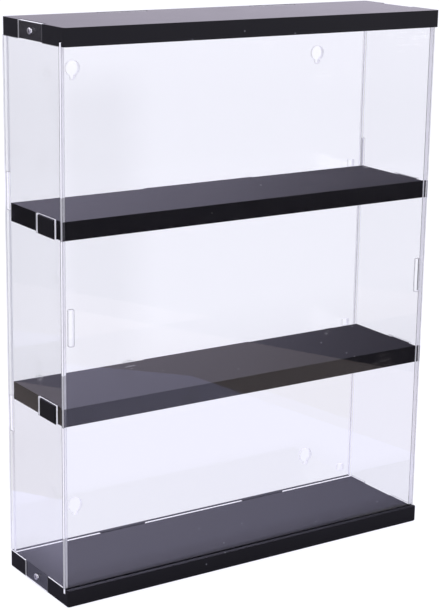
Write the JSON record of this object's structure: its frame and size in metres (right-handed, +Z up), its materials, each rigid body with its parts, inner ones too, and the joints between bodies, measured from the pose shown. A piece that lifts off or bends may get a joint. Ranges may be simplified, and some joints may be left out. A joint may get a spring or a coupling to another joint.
{
  "type": "trading card display case",
  "caption": "Wall or table display case for trading cards, with black boards and shelves held by slotted clear panels, and a clear front door that slides sideways in grooves.",
  "frame": {"origin": "middle of the footprint, on the surface the case stands on", "axes": "+Z up, +X to the right as seen from the front, +Y to the back, so the door is on the -Y side"},
  "size_m": [0.393, 0.1094, 0.5],
  "materials": {
    "black_board": "gloss",
    "clear_sheet": "clear polished",
    "screw_steel": "satin"
  },
  "bodies": {
    "case": {"base_board": "black_board", "top_board": "black_board", "lower_shelf": "black_board", "upper_shelf": "black_board", "left_side_panel": "clear_sheet", "right_side_panel": "clear_sheet", "back_panel": "clear_sheet", "screw_base_left": "screw_steel", "screw_base_right": "screw_steel", "screw_top_left": "screw_steel", "screw_top_right": "screw_steel"},
    "door": {"front_door": "clear_sheet"}
  },
  "joints": [
    {"name": "door_slide", "type": "slide", "parent": "case", "child": "door", "axis": [1, 0, 0], "range_m": [-0.35, 0.35]}
  ]
}
